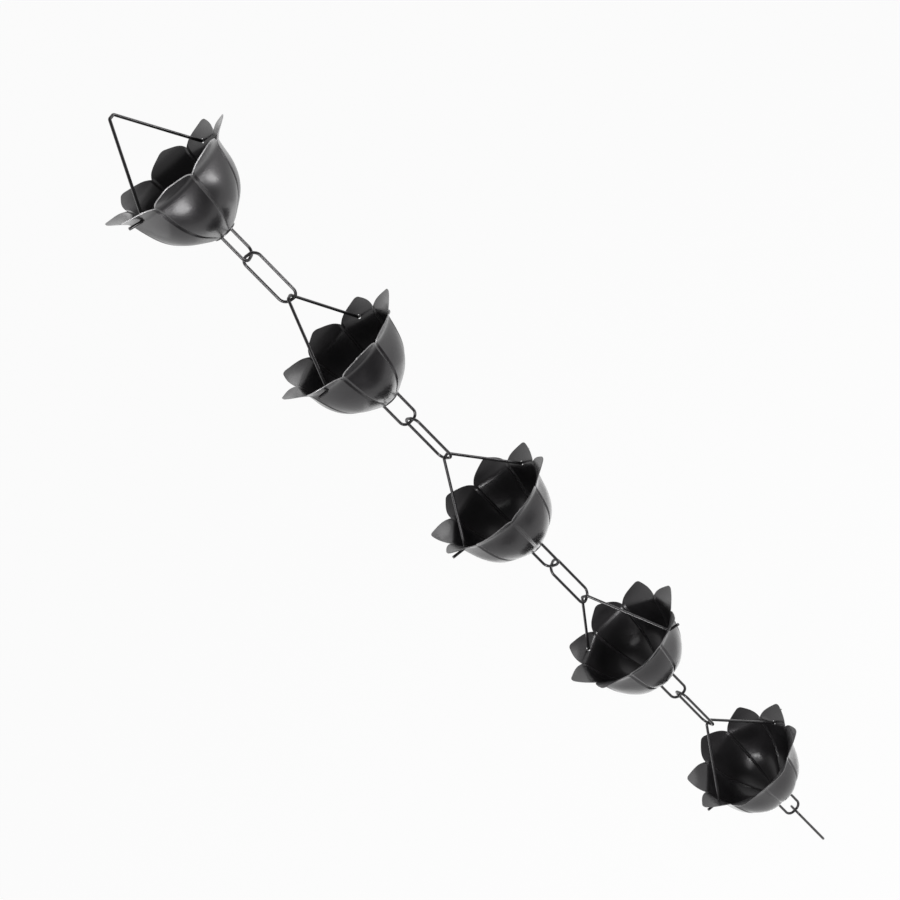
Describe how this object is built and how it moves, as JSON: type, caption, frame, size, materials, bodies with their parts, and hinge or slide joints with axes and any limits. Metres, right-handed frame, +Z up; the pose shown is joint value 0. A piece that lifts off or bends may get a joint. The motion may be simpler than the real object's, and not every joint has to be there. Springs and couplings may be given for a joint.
{
  "type": "rain chain",
  "caption": "Hanging rain chain of pressed petal cups on bent wire hangers, joined by wire loops and links, that leads roof water down from a gutter.",
  "frame": {"origin": "the seat under the flat top of the first hanger, where a gutter's eye or hook carries the chain", "axes": "+Z up along the chain, which hangs down from the origin; +X and +Y level"},
  "size_m": [0.154, 0.154, 1.2217],
  "materials": {
    "cup_coat": "satin black powder coat on pressed sheet",
    "wire_coat": "satin black powder coat on bent wire"
  },
  "bodies": {
    "hanger_1": {"hanger_1": "wire_coat"},
    "cup_1": {"cup_1": "cup_coat", "bottom_loop_1": "wire_coat"},
    "link_1": {"link_1": "wire_coat"},
    "hanger_2": {"hanger_2": "wire_coat"},
    "cup_2": {"cup_2": "cup_coat", "bottom_loop_2": "wire_coat"},
    "link_2": {"link_2": "wire_coat"},
    "hanger_3": {"hanger_3": "wire_coat"},
    "cup_3": {"cup_3": "cup_coat", "bottom_loop_3": "wire_coat"},
    "link_3": {"link_3": "wire_coat"},
    "hanger_4": {"hanger_4": "wire_coat"},
    "cup_4": {"cup_4": "cup_coat", "bottom_loop_4": "wire_coat"},
    "link_4": {"link_4": "wire_coat"},
    "hanger_5": {"hanger_5": "wire_coat"},
    "cup_5": {"cup_5": "cup_coat", "bottom_loop_5": "wire_coat"},
    "link_5": {"link_5": "wire_coat"}
  },
  "joints": [
    {"name": "cup_1_swing", "type": "hinge", "parent": "hanger_1", "child": "cup_1", "pos_m": [0, 0, -0.0792], "axis": [0.7944, 0.6074, 0], "range_deg": [-60, 60]},
    {"name": "link_1_swing", "type": "hinge", "parent": "cup_1", "child": "link_1", "pos_m": [0, 0, -0.1854], "axis": [-0.6428, -0.766, 0], "range_deg": [-75, 75]},
    {"name": "hanger_2_swing", "type": "hinge", "parent": "link_1", "child": "hanger_2", "pos_m": [0, 0, -0.2449], "axis": [0.866, -0.5, 0], "range_deg": [-75, 75]},
    {"name": "cup_2_swing", "type": "hinge", "parent": "hanger_2", "child": "cup_2", "pos_m": [0, 0, -0.3222], "axis": [0.6361, 0.7716, 0], "range_deg": [-60, 60]},
    {"name": "link_2_swing", "type": "hinge", "parent": "cup_2", "child": "link_2", "pos_m": [0, 0, -0.4284], "axis": [-0.9994, -0.0349, 0], "range_deg": [-75, 75]},
    {"name": "hanger_3_swing", "type": "hinge", "parent": "link_2", "child": "hanger_3", "pos_m": [0, 0, -0.4879], "axis": [0.454, -0.891, 0], "range_deg": [-75, 75]},
    {"name": "cup_3_swing", "type": "hinge", "parent": "hanger_3", "child": "cup_3", "pos_m": [0, 0, -0.5652], "axis": [0.9157, 0.4019, 0], "range_deg": [-60, 60]},
    {"name": "link_3_swing", "type": "hinge", "parent": "cup_3", "child": "link_3", "pos_m": [0, 0, -0.6714], "axis": [-0.7071, 0.7071, 0], "range_deg": [-75, 75]},
    {"name": "hanger_4_swing", "type": "hinge", "parent": "link_3", "child": "hanger_4", "pos_m": [0, 0, -0.7309], "axis": [0.7314, 0.682, 0], "range_deg": [-75, 75]},
    {"name": "cup_4_swing", "type": "hinge", "parent": "hanger_4", "child": "cup_4", "pos_m": [0, 0, -0.8082], "axis": [0.6896, -0.7242, 0], "range_deg": [-60, 60]},
    {"name": "link_4_swing", "type": "hinge", "parent": "cup_4", "child": "link_4", "pos_m": [0, 0, -0.9144], "axis": [-0.9903, 0.1392, 0], "range_deg": [-75, 75]},
    {"name": "hanger_5_swing", "type": "hinge", "parent": "link_4", "child": "hanger_5", "pos_m": [0, 0, -0.9739], "axis": [0.2588, -0.9659, 0], "range_deg": [-75, 75]},
    {"name": "cup_5_swing", "type": "hinge", "parent": "hanger_5", "child": "cup_5", "pos_m": [0, 0, -1.0512], "axis": [0.9664, 0.2571, 0], "range_deg": [-60, 60]},
    {"name": "link_5_swing", "type": "hinge", "parent": "cup_5", "child": "link_5", "pos_m": [0, 0, -1.1574], "axis": [-0.9986, -0.0523, 0], "range_deg": [-75, 75]}
  ]
}
